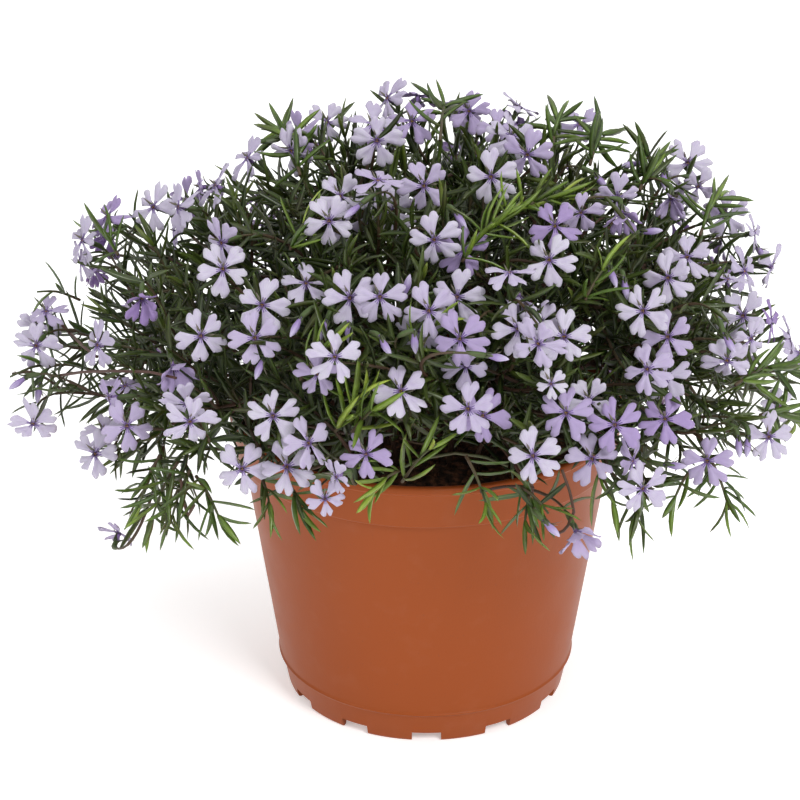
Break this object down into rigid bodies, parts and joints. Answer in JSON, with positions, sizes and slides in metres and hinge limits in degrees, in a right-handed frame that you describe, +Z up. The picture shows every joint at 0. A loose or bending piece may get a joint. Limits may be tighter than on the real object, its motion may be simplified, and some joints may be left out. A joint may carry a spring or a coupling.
{
  "type": "potted creeping phlox",
  "caption": "Flowering cushion of creeping phlox with needle-like leaves and notched lavender blooms, growing in a round terracotta-coloured grower's pot.",
  "frame": {"origin": "on the pot's axis, on the surface that the pot's foot stands on", "axes": "+Z up along the pot's axis, -Y towards the front of the picture, +X to the viewer's right, along the cushion's longest way"},
  "size_m": [0.3547, 0.29, 0.2638],
  "materials": {
    "pot": "satin terracotta-coloured plastic",
    "soil": "dark crumbly potting soil",
    "foliage": "green needle-like leaves with pale lavender petals"
  },
  "bodies": {
    "root": {"pot": "pot", "soil": "soil", "spray_01": "foliage", "spray_02": "foliage", "spray_03": "foliage", "spray_04": "foliage", "spray_05": "foliage", "spray_06": "foliage", "spray_07": "foliage", "spray_08": "foliage", "spray_09": "foliage", "spray_10": "foliage", "spray_11": "foliage", "spray_12": "foliage", "spray_13": "foliage", "spray_14": "foliage", "spray_15": "foliage", "spray_16": "foliage", "spray_17": "foliage", "spray_18": "foliage", "spray_19": "foliage", "spray_20": "foliage", "spray_21": "foliage", "spray_22": "foliage", "spray_23": "foliage", "spray_24": "foliage", "spray_25": "foliage", "spray_26": "foliage", "spray_27": "foliage", "spray_28": "foliage", "spray_29": "foliage", "spray_30": "foliage", "spray_31": "foliage", "spray_32": "foliage", "spray_33": "foliage", "spray_34": "foliage", "spray_35": "foliage", "spray_36": "foliage", "spray_37": "foliage"}
  },
  "joints": []
}
